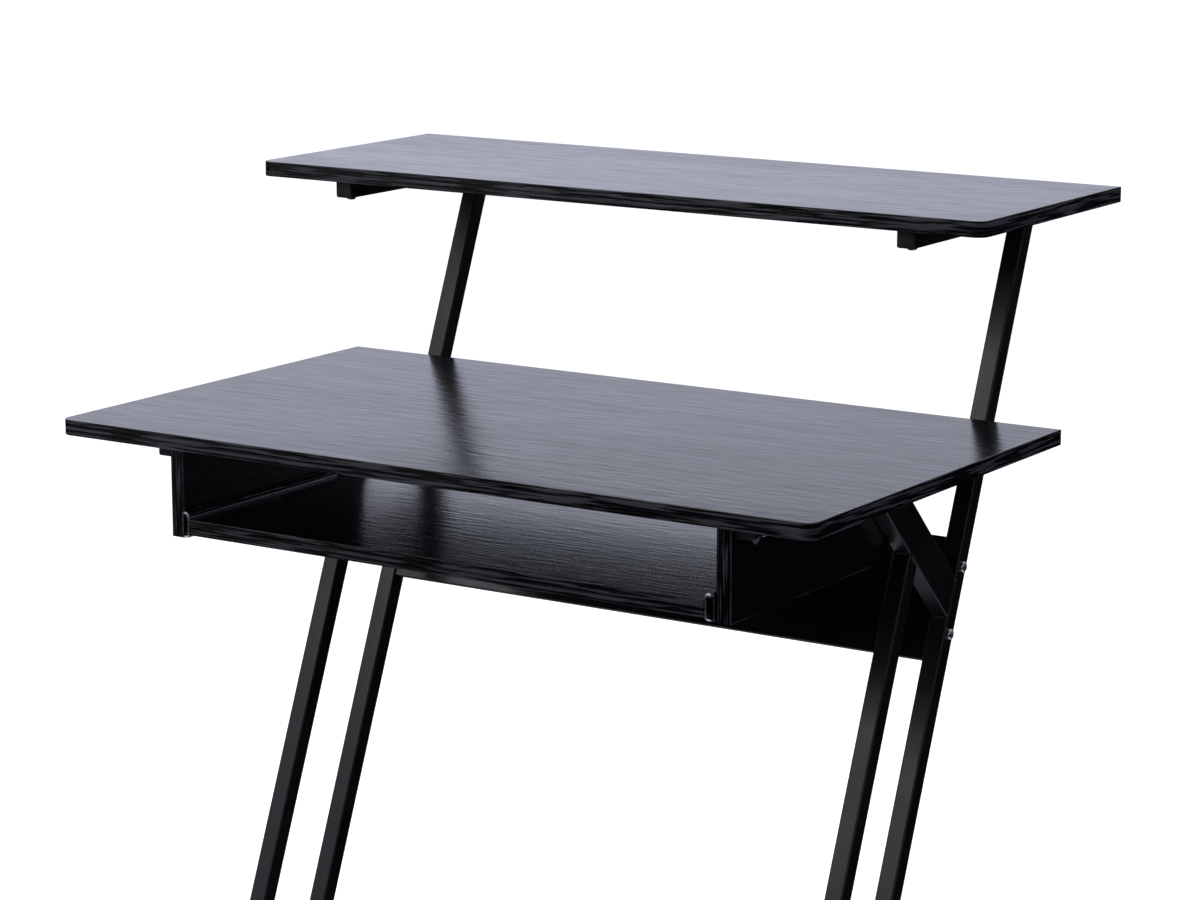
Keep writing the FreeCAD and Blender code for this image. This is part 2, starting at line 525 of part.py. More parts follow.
# --- Levelling feet -------------------------------------------------------------------------------
def build_feet():
    """Front and rear right foot, their threaded inserts, and the inserts' holes in the runner."""
    x = FRAME_INNER + TUBE / 2
    up = Vector(0, 0, 1)
    neck_top = FOOT_HEIGHT - INSERT_FLANGE - FOOT_STOP_GAP
    pad = Part.makeCylinder(FOOT_PAD_RADIUS, FOOT_PAD_HEIGHT)
    pad = pad.makeFillet(FOOT_EDGE, [e for e in pad.Edges if e.Closed])
    cone = Part.makeCone(FOOT_PAD_RADIUS - FOOT_EDGE, FOOT_NECK_RADIUS, neck_top - FOOT_PAD_HEIGHT,
                         Vector(0, 0, FOOT_PAD_HEIGHT))
    runner_roof = RUNNER_TOP - TUBE_WALL
    stem = rod(FOOT_STEM_RADIUS, Vector(0, 0, neck_top), up, runner_roof - FOOT_STEM_GAP - neck_top)
    foot = pad.fuse([cone, stem]).removeSplitter()
    flange = rod(INSERT_FLANGE_RADIUS, Vector(0, 0, FOOT_HEIGHT - INSERT_FLANGE), up, INSERT_FLANGE)
    body = rod(INSERT_RADIUS, Vector(0, 0, FOOT_HEIGHT), up,
               runner_roof - INSERT_TOP_GAP - FOOT_HEIGHT)
    thread = rod(FOOT_STEM_RADIUS + THREAD_GAP, Vector(0, 0, 0), up, RUNNER_TOP)
    insert = flange.fuse(body).cut(thread)
    ends = {"front": RUNNER_FRONT + FOOT_INSET, "rear": RUNNER_BACK - FOOT_INSET}
    turn = FreeCAD.Rotation()
    feet = {end: place(foot, turn, x, y, 0) for end, y in ends.items()}
    inserts = [place(insert, turn, x, y, 0) for y in ends.values()]
    return feet, inserts, [place(body, turn, x, y, 0) for y in ends.values()]


# --- Crossbar between the floor runners -----------------------------------------------------------
def build_crossbar():
    """Crossbar tube, its threaded plug and bolt on the right, and the bolt's hole in the runner."""
    y_back = RUNNER_BACK - CROSSBAR_INSET
    sideways = FreeCAD.Rotation(Vector(0, 1, 0), 90)
    bar = place(tube(TUBE, 2 * FRAME_INNER), sideways, -FRAME_INNER, y_back - TUBE, RUNNER_TOP)
    middle = Vector(FRAME_OUTER, y_back - TUBE / 2, FOOT_HEIGHT + TUBE / 2)
    inward = Vector(-1, 0, 0)
    turn = FreeCAD.Rotation(Vector(0, 0, 1), inward)
    bolt = place(headed(BOLT_HEAD_RADIUS, BOLT_HEAD, BOLT_RADIUS, TUBE + CROSSBAR_PLUG), turn,
                 middle.x, middle.y, middle.z)
    side = TUBE - 2 * TUBE_WALL - 2 * PLUG_GAP
    block = rounded_bar(side, side, TUBE_CORNER - TUBE_WALL, CROSSBAR_PLUG)
    block = place(block, sideways, FRAME_INNER - CROSSBAR_PLUG, middle.y - side / 2,
                  middle.z + side / 2)
    threaded = block.cut(rod(BOLT_RADIUS, middle, inward, TUBE + CROSSBAR_PLUG))
    hole = rod(BOLT_RADIUS + HOLE_GAP, middle, inward, TUBE)
    return bar, bolt, threaded, hole


# --- The desk put together ------------------------------------------------------------------------
def build_desk():
    """Make every piece, drill what the fasteners pass through, and write the nodes."""
    tubes, plugs = build_frames()
    boards = build_boards()
    slides = build_slides()
    feet, foot_inserts, insert_holes = build_feet()
    crossbar, crossbar_bolt, crossbar_plug, crossbar_hole = build_crossbar()

    desk_screws, desk_arm_holes, desk_holes = arm_screws(DESK_SCREW_SETBACKS, ARM_UNDER)
    shelf_screws, shelf_arm_holes, shelf_holes = arm_screws(SHELF_SCREW_SETBACKS, SHELF_ARM_UNDER)
    bolts, barrel_nuts, leg_holes, modesty_holes = modesty_fixings()
    cams, cam_pins, panel_holes, cam_desk_holes = panel_cams()

    def both_sides(holes):
        return holes + [mirrored(hole) for hole in holes]

    tubes["desk_arm"] = tubes["desk_arm"].cut(desk_arm_holes)
    tubes["shelf_arm"] = tubes["shelf_arm"].cut(shelf_arm_holes)
    plugs["shelf_arm_plugs"] = [end.cut(shelf_arm_holes) for end in plugs["shelf_arm_plugs"]]
    plugs["floor_runner_plugs"] = [end.cut(insert_holes) for end in plugs["floor_runner_plugs"]]
    tubes["rear_leg"] = tubes["rear_leg"].cut(leg_holes)
    tubes["floor_runner"] = tubes["floor_runner"].cut(insert_holes + [crossbar_hole])
    drilled = {
        "desktop": both_sides(desk_holes + cam_desk_holes),
        "monitor_shelf": both_sides(shelf_holes),
        "modesty_panel": both_sides(modesty_holes),
        "keyboard_tray": both_sides(slides["tray_holes"]),
        "side_panel": panel_holes + slides["panel_screws"],
    }
    for node, holes in drilled.items():
        boards[node] = [piece.cut(holes) for piece in boards[node]]
    outer = slides["outer"].cut(slides["panel_screws"])
    inner = slides["inner"].cut(slides["tray_holes"])

    for node in ("desktop", "monitor_shelf", "keyboard_tray", "modesty_panel"):
        save(node, boards[node][0])
        save(node + "_edge_band", boards[node][1])
    save_pair("side_panel", boards["side_panel"][0])
    save_pair("side_panel_edge_band", boards["side_panel"][1])
    for node, shape in tubes.items():
        save_pair(node, shape)
    for node, shapes in plugs.items():
        save_group(node, shapes)
    save("rear_crossbar", crossbar)
    save_pair("slide_outer_member", outer)
    save_pair("slide_inner_member", inner)
    save_pair("slide_ball_cage", slides["cage"])
    save_pair("slide_balls", Part.makeCompound(slides["balls"]))
    for end, foot in feet.items():
        save_pair(end + "_foot", foot)
    save_group("foot_inserts", foot_inserts)
    save_group("desktop_screws", desk_screws)
    save_group("shelf_screws", shelf_screws)
    save_group("modesty_bolts", bolts)
    save_group("modesty_barrel_nuts", barrel_nuts)
    save_group("side_panel_cams", cams)
    save_group("side_panel_cam_pins", cam_pins)
    save_group("slide_panel_screws", slides["panel_screws"])
    save_group("slide_tray_screws", slides["tray_screws"])
    save_group("crossbar_bolts", [crossbar_bolt])
    save_group("crossbar_threaded_plugs", [crossbar_plug])


os.makedirs("parts", exist_ok=True)
build_desk()
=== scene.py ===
import math

import bmesh
import bpy
import numpy as np
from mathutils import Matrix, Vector


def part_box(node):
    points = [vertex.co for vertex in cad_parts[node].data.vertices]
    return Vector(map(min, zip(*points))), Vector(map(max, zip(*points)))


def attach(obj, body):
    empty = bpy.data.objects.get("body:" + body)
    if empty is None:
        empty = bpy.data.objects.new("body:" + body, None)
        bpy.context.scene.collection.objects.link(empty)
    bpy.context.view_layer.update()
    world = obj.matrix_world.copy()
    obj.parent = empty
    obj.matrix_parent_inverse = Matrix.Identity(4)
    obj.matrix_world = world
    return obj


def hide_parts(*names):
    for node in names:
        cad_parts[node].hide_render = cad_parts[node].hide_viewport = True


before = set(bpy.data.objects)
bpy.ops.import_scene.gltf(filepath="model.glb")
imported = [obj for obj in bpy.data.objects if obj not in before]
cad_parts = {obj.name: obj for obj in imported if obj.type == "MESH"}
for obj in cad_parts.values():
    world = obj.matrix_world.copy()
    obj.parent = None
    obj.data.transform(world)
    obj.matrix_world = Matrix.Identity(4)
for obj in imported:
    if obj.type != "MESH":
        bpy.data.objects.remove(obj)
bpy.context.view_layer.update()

# --- Side frames ----------------------------------------------------------------------------------
# Each side frame is welded up from steel tube with small rounded corners: a rear leg that runs on
# up to the shelf, a front leg, an arm under each board and a floor runner, all square, and a brace
# of deeper rectangular tube.
TUBE_CORNER = 0.0022
CORNER_STEPS = 6
right_low, right_high = map(np.array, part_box("right_rear_leg"))
TUBE = right_high[0] - right_low[0]
X = np.array([1.0, 0.0, 0.0])
Y = np.array([0.0, 1.0, 0.0])
Z = np.array([0.0, 0.0, 1.0])
EVEN = (1, 1, 1)


def node_material(name, colour, roughness):
    """Principled material with its plain values on the shader's own sockets."""
    material = bpy.data.materials.new(name)
    material.use_nodes = True
    shader = material.node_tree.nodes["Principled BSDF"]
    shader.inputs["Base Color"].default_value = (*colour, 1)
    shader.inputs["Roughness"].default_value = roughness
    return material, shader


def add(material, kind, **settings):
    """New shader node; settings with a socket's name set that socket, the rest set the node."""
    node = material.node_tree.nodes.new("ShaderNode" + kind)
    for key, value in settings.items():
        label = key.replace("_", " ")
        if label in node.inputs:
            node.inputs[label].default_value = value
        else:
            setattr(node, key, value)
    return node


def drawn_out(along, squeeze):
    """Pattern scale that leaves the named axis as it is and squeezes the other two."""
    return tuple(1.0 if axis == along else squeeze for axis in "xyz")


def stretched_noise(material, scale, stretch, detail=4.0, distortion=0.0):
    """Noise on Object coordinates, drawn out along an axis by a small factor there."""
    links = material.node_tree.links
    place = add(material, "TexCoord")
    mapping = add(material, "Mapping", Scale=stretch)
    noise = add(material, "TexNoise", Scale=scale, Detail=detail, Distortion=distortion)
    links.new(place.outputs["Object"], mapping.inputs["Vector"])
    links.new(mapping.outputs["Vector"], noise.inputs["Vector"])
    return noise


def remap(material, source, low, high, from_low=0.3, from_high=0.7):
    """Value spread between two numbers."""
    node = add(material, "MapRange")
    for socket, value in zip(("From Min", "From Max", "To Min", "To Max"),
                             (from_low, from_high, low, high)):
        node.inputs[socket].default_value = value
    material.node_tree.links.new(source, node.inputs["Value"])
    return node.outputs["Result"]


def blend_colours(material, source, dark, light, low=0.3, high=0.7):
    """Colour ramp between two colours."""
    ramp = add(material, "ValToRGB")
    ramp.color_ramp.elements[0].position = low
    ramp.color_ramp.elements[1].position = high
    ramp.color_ramp.elements[0].color = (*dark, 1)
    ramp.color_ramp.elements[1].color = (*light, 1)
    material.node_tree.links.new(source, ramp.inputs["Fac"])
    return ramp.outputs["Color"]


def bump(material, shader, height, distance, strength, below=None):
    """Bump into the shader's normal, on top of another bump if one is given."""
    node = add(material, "Bump", Strength=strength, Distance=distance)
    material.node_tree.links.new(height, node.inputs["Height"])
    if below is not None:
        material.node_tree.links.new(below.outputs["Normal"], node.inputs["Normal"])
    material.node_tree.links.new(node.outputs["Normal"], shader.inputs["Normal"])
    return node


def powder_coat():
    """Satin black powder coat: a low orange-peel ripple, fine pores, and a slightly uneven gloss."""
    material, shader = node_material("satin_black_powder_coat", (0.011, 0.011, 0.012), 0.34)
    links = material.node_tree.links
    ripple = stretched_noise(material, 260.0, EVEN, 2.0)
    pores = stretched_noise(material, 1900.0, EVEN, 2.0)
    cloud = stretched_noise(material, 14.0, EVEN, 3.0)
    colour = blend_colours(material, cloud.outputs["Fac"], (0.003, 0.003, 0.0035),
                           (0.007, 0.007, 0.008))
    links.new(colour, shader.inputs["Base Color"])
    links.new(remap(material, cloud.outputs["Fac"], 0.29, 0.38), shader.inputs["Roughness"])
    first = bump(material, shader, ripple.outputs["Fac"], 0.0002, 0.25)
    bump(material, shader, pores.outputs["Fac"], 0.00006, 0.3, first)
    return material


def loft(rings):
    """Skin over a stack of equal rings: each quad joins two points of one ring to the same two of
    the next, and one face closes each end. rings is (count, points, 3)."""
    count, around = rings.shape[:2]
    index = np.arange(count * around).reshape(count, around)
    low, high = index[:-1], index[1:]
    sides = np.stack([low, np.roll(low, -1, 1), np.roll(high, -1, 1), high], -1)
    faces = sides.reshape(-1, 4).tolist() + [index[0][::-1].tolist(), index[-1].tolist()]
    return rings.reshape(-1, 3), faces


def build(name, shells, material, sharp=35.0):
    """One object from several closed shells, faces outwards, edges sharper than `sharp` kept."""
    points, faces, start = [], [], 0
    for shell_points, shell_faces in shells:
        points.append(shell_points)
        faces += [[corner + start for corner in face] for face in shell_faces]
        start += len(shell_points)
    mesh = bpy.data.meshes.new(name)
    mesh.from_pydata(np.concatenate(points).tolist(), [], faces)
    work = bmesh.new()
    work.from_mesh(mesh)
    bmesh.ops.recalc_face_normals(work, faces=work.faces)
    work.to_mesh(mesh)
    work.free()
    mesh.polygons.foreach_set("use_smooth", np.ones(len(mesh.polygons), bool))
    mesh.set_sharp_from_angle(angle=math.radians(sharp))
    mesh.materials.append(material)
    piece = bpy.data.objects.new(name, mesh)
    bpy.context.scene.collection.objects.link(piece)
    weighted = piece.modifiers.new("even_shading", "WEIGHTED_NORMAL")
    weighted.keep_sharp = True
    return piece


def tube_outline(width, depth, radius=TUBE_CORNER, steps=CORNER_STEPS):
    """Outline of a rectangle from (0, 0) to (width, depth) with a quarter circle at each corner."""
    turn = np.linspace(0, math.pi / 2, steps + 1)
    corners = []
    for quarter, (cx, cy) in enumerate([(1, 1), (0, 1), (0, 0), (1, 0)]):
        centre = np.array([radius + cx * (width - 2 * radius), radius + cy * (depth - 2 * radius)])
        angle = turn + quarter * math.pi / 2
        corners.append(centre + radius * np.stack([np.cos(angle), np.sin(angle)], 1))
    return np.concatenate(corners)


def cut_bar(corner, across, inward, axis, start, end, depth=TUBE):
    """Bar whose rounded outline slides along `axis` and stops where it meets a plane at each end;
    a plane is (point on it, normal)."""
    outline = tube_outline(TUBE, depth)
    lines = corner + outline[:, :1] * across + outline[:, 1:] * inward
    rings = []
    for point, normal in (start, end):
        travel = (point - lines) @ normal / (axis @ normal)
        rings.append(lines + travel[:, None] * axis)
    return loft(np.stack(rings))


def lean_of(node):
    """Angle from upright of a leaning tube cut level at both ends: the level length of its section
    and the run of its lean make up the depth of its box."""
    low, high = map(np.array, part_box(node))
    depth, height = high[1] - low[1], high[2] - low[2]
    return math.acos(TUBE / math.hypot(depth, height)) - math.atan2(height, depth)


coat = powder_coat()
LEAN = lean_of("right_rear_leg")
LEG_UP = np.array([0, math.sin(LEAN), math.cos(LEAN)])
LEG_BACK = np.array([0, math.cos(LEAN), -math.sin(LEAN)])
seams = {}
for side in ("right", "left"):
    boxes = {part: np.array(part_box(side + "_" + part))
             for part in ("rear_leg", "front_leg", "brace", "desk_arm", "shelf_arm", "floor_runner")}
    rear, front, brace = boxes["rear_leg"], boxes["front_leg"], boxes["brace"]
    desk_arm, shelf_arm, runner = boxes["desk_arm"], boxes["shelf_arm"], boxes["floor_runner"]
    rear_face = (rear[0], LEG_BACK)
    tip_y = rear[0][1] + (brace[0][2] - rear[0][2]) * math.tan(LEAN)
    slope = math.atan2(brace[1][2] - brace[0][2], tip_y - brace[0][1])
    brace_down = np.array([0, math.cos(slope), -math.sin(slope)])
    brace_up_face = np.array([0, math.sin(slope), math.cos(slope)])
    brace_corner = np.array([brace[0][0], brace[0][1], brace[1][2]])
    top_z = rear[0][2] + (brace[1][1] - rear[0][1]) / math.tan(LEAN)
    upper_tip = np.array([brace[0][0], brace[1][1], top_z])
    brace_depth = (upper_tip - brace_corner) @ brace_up_face
    bars = {
        "rear_leg": (rear[0], LEG_BACK, LEG_UP, (rear[0], Z), (rear[1], Z)),
        "front_leg": (front[0], LEG_BACK, LEG_UP, (front[0], Z), (brace_corner, brace_up_face)),
        "brace": (brace_corner, brace_up_face, brace_down, (brace[1], Z), rear_face),
        "desk_arm": (desk_arm[0], Z, Y, (desk_arm[0], Y), rear_face),
        "shelf_arm": (shelf_arm[0], Z, Y, (shelf_arm[0], Y), (shelf_arm[1], Y)),
        "floor_runner": (runner[0], Z, Y, (runner[0], Y), (runner[1], Y)),
    }
    for part, (corner, inward, axis, start, end) in bars.items():
        node = side + "_" + part
        depth = brace_depth if part == "brace" else TUBE
        tube = build(node + "_coated", [cut_bar(corner, X, inward, axis, start, end, depth)], coat)
        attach(tube, "frame")
        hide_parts(node)
    seams[side] = (boxes, slope, tip_y, brace_depth / math.sin(slope), top_z)

crossbar_low, crossbar_high = map(np.array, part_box("rear_crossbar"))
crossbar = build("rear_crossbar_coated", [cut_bar(crossbar_low, Y, Z, X, (crossbar_low, X),
                                                  (crossbar_high, X))], coat)
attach(crossbar, "frame")
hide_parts("rear_crossbar")

# --- Weld beads -----------------------------------------------------------------------------------
# Every tube joint is closed by a small bead of weld, coated over with the frame. The ripples are
# the puddles that the welder left one after another.
BEAD = 0.0021
BEAD_PITCH = 0.0017
BEAD_RIPPLE = 0.1
BEAD_SINK = 0.3 * BEAD
STEPS_PER_RIPPLE = 6


def weld_bead(start, end):
    """Bead between two points: a circle carried along the seam, its radius swelling and shrinking
    with each ripple and closing to a rounded tip at both ends by the square root of the distance."""
    run = end - start
    length = np.linalg.norm(run)
    along = np.linspace(0, 1, max(14, int(length / BEAD_PITCH * STEPS_PER_RIPPLE)))
    inset = np.minimum(along, 1 - along) * length
    radius = BEAD * np.sqrt(np.clip(inset / BEAD, 0.02, 1))
    radius = radius * (1 + BEAD_RIPPLE * np.abs(np.sin(math.pi * along * length / BEAD_PITCH)))
    direction = run / length
    side = np.cross(direction, X if abs(direction[0]) < 0.9 else Y)
    side /= np.linalg.norm(side)
    up = np.cross(direction, side)
    turn = np.linspace(0, 2 * math.pi, 12, endpoint=False)
    circle = np.cos(turn)[:, None] * side + np.sin(turn)[:, None] * up
    centres = start + along[:, None] * run
    return loft(centres[:, None] + radius[:, None, None] * circle)


INSET = 0.0025
for side, (boxes, slope, tip_y, brace_section, top_z) in seams.items():
    beads = []
    x_low, x_high = boxes["rear_leg"][0][0] + INSET, boxes["rear_leg"][1][0] - INSET
    section = TUBE / math.cos(LEAN)

    def across(y, z):
        """Bead along X at one height, in the corner between two tubes."""
        beads.append(weld_bead(np.array([x_low, y, z]), np.array([x_high, y, z])))

    def down_sides(first, last):
        """The same seam on the tubes' inner and outer faces, sunk a little into them."""
        for x in (boxes["rear_leg"][0][0], boxes["rear_leg"][1][0]):
            inward = BEAD_SINK if x == boxes["rear_leg"][0][0] else -BEAD_SINK
            beads.append(weld_bead(np.array([x + inward, *first]), np.array([x + inward, *last])))

    for leg in ("rear_leg", "front_leg"):
        foot = boxes[leg][0]
        across(foot[1], foot[2])
        across(foot[1] + section, foot[2])
        down_sides((foot[1] + INSET, foot[2]), (foot[1] + section - INSET, foot[2]))
    head_y = boxes["rear_leg"][1][1]
    head_z = boxes["rear_leg"][1][2]
    across(head_y - section, head_z)
    across(head_y, head_z)
    down_sides((head_y - section + INSET, head_z), (head_y - INSET, head_z))

    def rear_face_y(z):
        """Where the rear leg's front face is at a height."""
        return boxes["rear_leg"][0][1] + (z - boxes["rear_leg"][0][2]) * math.tan(LEAN)

    arm = boxes["desk_arm"]
    across(rear_face_y(arm[0][2]), arm[0][2])
    down_sides((rear_face_y(arm[0][2] + INSET), arm[0][2] + INSET),
               (rear_face_y(arm[1][2] - INSET), arm[1][2] - INSET))
    brace = boxes["brace"]
    across(tip_y, brace[0][2])
    across(brace[0][1], brace[1][2])
    across(brace[0][1] + brace_section, brace[1][2])
    across(rear_face_y(top_z), top_z)
    down_sides((tip_y, brace[0][2] + INSET), (rear_face_y(top_z - INSET), top_z - INSET))
    down_sides((brace[0][1] + INSET, brace[1][2]),
               (brace[0][1] + brace_section - INSET, brace[1][2]))
    lower = np.array([brace[0][1], brace[1][2]])
    run = np.array([math.cos(slope), -math.sin(slope)])
    foot = boxes["front_leg"][0]
    ends = []
    for y_foot in (foot[1], foot[1] + section):
        travel = ((y_foot - lower[0]) + (lower[1] - foot[2]) * math.tan(LEAN)) / (
            run[0] - run[1] * math.tan(LEAN))
        ends.append(lower + travel * run)
    across(*ends[0])
    across(*ends[1])
    down_sides(ends[0] + INSET * run, ends[1] - INSET * run)
    welds = build(side + "_frame_welds", beads, coat, sharp=60.0)
    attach(welds, "frame")

# --- End plugs ------------------------------------------------------------------------------------
# A push-in moulded plug closes every open tube end: a low crowned cap with a soft rim, and a body
# out of sight in the tube.
PLUG_CAP = 0.002
PLUG_BODY = 0.012
PLUG_RIM = 0.0009
PLUG_CROWN = 0.35 * PLUG_RIM
PLUG_FILL = 0.98
TUBE_WALL = 0.0012


def moulded_plastic(name, colour, roughness):
    """Moulded black plastic: a fine spark-eroded grain and faint cloudy gloss."""
    material, shader = node_material(name, colour, roughness)
    grain = stretched_noise(material, 2600.0, EVEN, 2.0)
    cloud = stretched_noise(material, 60.0, EVEN, 2.0)
    material.node_tree.links.new(
        blend_colours(material, cloud.outputs["Fac"], [c * 0.8 for c in colour],
                      [c * 1.25 for c in colour]), shader.inputs["Base Color"])
    material.node_tree.links.new(
        remap(material, cloud.outputs["Fac"], roughness - 0.05, roughness + 0.06),
        shader.inputs["Roughness"])
    bump(material, shader, grain.outputs["Fac"], 0.00005, 0.35)
    return material


plug_plastic = moulded_plastic("black_plug_plastic", (0.020, 0.020, 0.021), 0.42)


def end_plug(corner, outward):
    """Plug at a tube end whose low x, low z corner is `corner`; outward is +1 to the back, -1 to
    the front. Rings of the tube's outline shrink towards the crown by a quarter circle, then over
    a slow dome to the middle; behind the cap they step in to the body."""
    profile = [(-PLUG_BODY, -TUBE_WALL * 1.6), (-0.0002, -TUBE_WALL * 1.15), (0.0, -TUBE_WALL * 1.1),
               (0.0, 0.0)]
    profile += [(PLUG_CAP - PLUG_CROWN - PLUG_RIM * (1 - math.sin(a)),
                 -PLUG_RIM * (1 - math.cos(a))) for a in np.linspace(0, math.pi / 2, 6)]
    profile += [(PLUG_CAP - PLUG_CROWN + PLUG_CROWN * (1 - share ** 2) * PLUG_FILL,
                 -PLUG_RIM - (TUBE / 2 - PLUG_RIM) * (1 - share) * PLUG_FILL)
                for share in np.linspace(0.92, 0.05, 8)]
    middle = np.array([TUBE / 2, TUBE / 2])
    outline = tube_outline(TUBE, TUBE) - middle
    rings = []
    for rise, grow in profile:
        scale = 1 + grow / (TUBE / 2)
        flat = middle + outline * scale
        rings.append(np.stack([corner[0] + flat[:, 0],
                               np.full(len(flat), corner[1] + outward * rise),
                               corner[2] + flat[:, 1]], 1))
    return loft(np.stack(rings))


plug_nodes = {"desk_arm_plugs": ("desk_arm", (-1,)), "shelf_arm_plugs": ("shelf_arm", (-1, 1)),
              "floor_runner_plugs": ("floor_runner", (-1, 1))}
for node, (tube_name, ways) in plug_nodes.items():
    shells = []
    for side in ("right", "left"):
        low, high = map(np.array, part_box(side + "_" + tube_name))
        for way in ways:
            shells.append(end_plug(np.array([low[0], low[1] if way < 0 else high[1], low[2]]), way))
    plugs = build(node + "_moulded", shells, plug_plastic)
    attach(plugs, "frame")
    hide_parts(node)

# --- Boards: black wood-grain laminate ------------------------------------------------------------
# Melamine paper pressed onto particle board, printed and embossed with a fine straight grain, so
# the pores catch the light as short dark streaks. The grain runs along each board's length.


def laminate(name, along, sheen_roughness):
    """Satin black laminate. Long streaks and short pores together set colour and gloss, and both
    are pressed in as bump; a broad figure drifts the gloss. `along` is the axis of the grain."""
    material, shader = node_material(name, (0.016, 0.016, 0.021), sheen_roughness)
    links = material.node_tree.links
    streaks = stretched_noise(material, 9.0, drawn_out(along, 14.0), 6.0, 0.35)
    pores = stretched_noise(material, 24.0, drawn_out(along, 5.5), 6.0, 0.2)
    figure = stretched_noise(material, 2.2, drawn_out(along, 5.0), 3.0, 0.8)
    both = add(material, "Math", operation="MULTIPLY_ADD")
    both.inputs[1].default_value = 0.75
    links.new(pores.outputs["Fac"], both.inputs[0])
    links.new(remap(material, streaks.outputs["Fac"], 0.0, 0.25), both.inputs[2])
    colour = blend_colours(material, both.outputs["Value"], (0.0008, 0.0008, 0.0012),
                           (0.0060, 0.0062, 0.0090), 0.3, 0.75)
    links.new(colour, shader.inputs["Base Color"])
    gloss = add(material, "Math", operation="ADD")
    links.new(remap(material, both.outputs["Value"], 0.06, -0.05, 0.2, 0.8), gloss.inputs[0])
    links.new(remap(material, figure.outputs["Fac"], sheen_roughness - 0.02,
                    sheen_roughness + 0.03), gloss.inputs[1])
    links.new(gloss.outputs["Value"], shader.inputs["Roughness"])
    first = bump(material, shader, pores.outputs["Fac"], 0.0005, 0.6)
    bump(material, shader, streaks.outputs["Fac"], 0.0002, 0.15, first)
    return material


def refinish(node, material):
    """One finish on a CAD node, in place of its own."""
    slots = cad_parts[node].data.materials
    slots.clear()
    slots.append(material)


grain_x = laminate("black_laminate_grain_across", "x", 0.19)
grain_y = laminate("black_laminate_grain_back", "y", 0.21)
for node, material in (("desktop", grain_x), ("monitor_shelf", grain_x), ("keyboard_tray", grain_x),
                       ("modesty_panel", grain_x), ("right_side_panel", grain_y),
                       ("left_side_panel", grain_y)):
    refinish(node, material)

# --- Edge bands -----------------------------------------------------------------------------------
# A millimetre of black plastic is glued round every board and trimmed to a small radius. It is
# printed with grain lines that follow the strip, bolder and further apart than the board's.
BAND = 0.001
BAND_RADIUS = 0.0007


def edge_band_plastic():
    """Printed edge band: long fine grain lines that follow the strip round the board, read from
    its UV map in metres along and across."""
    material, shader = node_material("black_grained_edge_band", (0.010, 0.010, 0.012), 0.3)
    links = material.node_tree.links
    place = add(material, "UVMap", uv_map="along_strip")
    mapping = add(material, "Mapping", Scale=(1, 27, 1))
    lines = add(material, "TexNoise", Scale=13.0, Detail=2.0, Distortion=0.1)
    links.new(place.outputs["UV"], mapping.inputs["Vector"])
    links.new(mapping.outputs["Vector"], lines.inputs["Vector"])
    colour = blend_colours(material, lines.outputs["Fac"], (0.0008, 0.0008, 0.0012),
                           (0.075, 0.075, 0.090), 0.50, 0.58)
    links.new(colour, shader.inputs["Base Color"])
    shader.inputs["Specular IOR Level"].default_value = 0.35
    links.new(remap(material, lines.outputs["Fac"], 0.20, 0.32), shader.inputs["Roughness"])
    bump(material, shader, lines.outputs["Fac"], 0.0010, 0.8)
    return material


band_plastic = edge_band_plastic()


def plan(half_x, y_front, y_back, radius, steps=12):
    """Outline of a board seen from above: straight back corners, quarter circles at the front."""
    turn = np.linspace(0, math.pi / 2, steps + 1) if radius > 0 else np.zeros(1)
    front_left = np.stack([-half_x + radius - radius * np.cos(turn),
                           y_front + radius - radius * np.sin(turn)], 1)
    front_right = front_left[::-1] * (-1, 1)
    return np.concatenate([[(-half_x, y_back)], front_left, front_right, [(half_x, y_back)]])


def band_ring(outline_at, thickness):
    """Closed ring of a band: its cross-section, a strip with two rounded outer corners, carried
    round the board. outline_at(inset) is the board's outline moved in by that much."""
    turn = np.linspace(0, math.pi / 2, 5)
    inset = BAND_RADIUS * (1 - np.sin(turn))
    rise = BAND_RADIUS * (1 - np.cos(turn))
    section = [(BAND, 0.0)] + list(zip(inset, rise))
    section += [(i, thickness - r) for i, r in zip(inset[::-1], rise[::-1])]
    section += [(BAND, thickness)]
    grid = []
    for step_in, height in section:
        flat = outline_at(step_in)
        grid.append(np.column_stack([flat, np.full(len(flat), height)]))
    grid = np.stack(grid)
    count, around = grid.shape[:2]
    index = np.arange(count * around).reshape(count, around)
    here, there = index, np.roll(index, -1, 0)
    faces = np.stack([here, np.roll(here, -1, 1), np.roll(there, -1, 1), there], -1)
    return grid.reshape(-1, 3), faces.reshape(-1, 4).tolist()


def lay_strip(band, points, outline):
    """UV map of a band: distance round the outline by height on the strip. The last column of
    faces closes the ring, so its far corners take the whole length."""
    around = len(outline)
    steps = np.linalg.norm(np.roll(outline, -1, 0) - outline, axis=1)
    reach = np.concatenate([[0.0], np.cumsum(steps)])
    mesh = band.data
    corner = np.empty(len(mesh.loops), int)
    mesh.loops.foreach_get("vertex_index", corner)
    column = np.repeat(np.arange(len(mesh.polygons)) % around, 4)
    along = reach[corner % around]
    along[(column == around - 1) & (corner % around == 0)] = reach[-1]
    layer = mesh.uv_layers.new(name="along_strip")
    layer.data.foreach_set("uv", np.stack([along, points[corner, 2]], 1).ravel())


def band_piece(node, body, outline_at, thickness, to_frame):
    """Band mesh in the board's own plane, brought to its place by to_frame, in the node's stead."""
    points, faces = band_ring(outline_at, thickness)
    band = build(node + "_trimmed", [(to_frame(points), faces)], band_plastic)
    lay_strip(band, points, outline_at(0.0))
    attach(band, body)
    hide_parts(node)


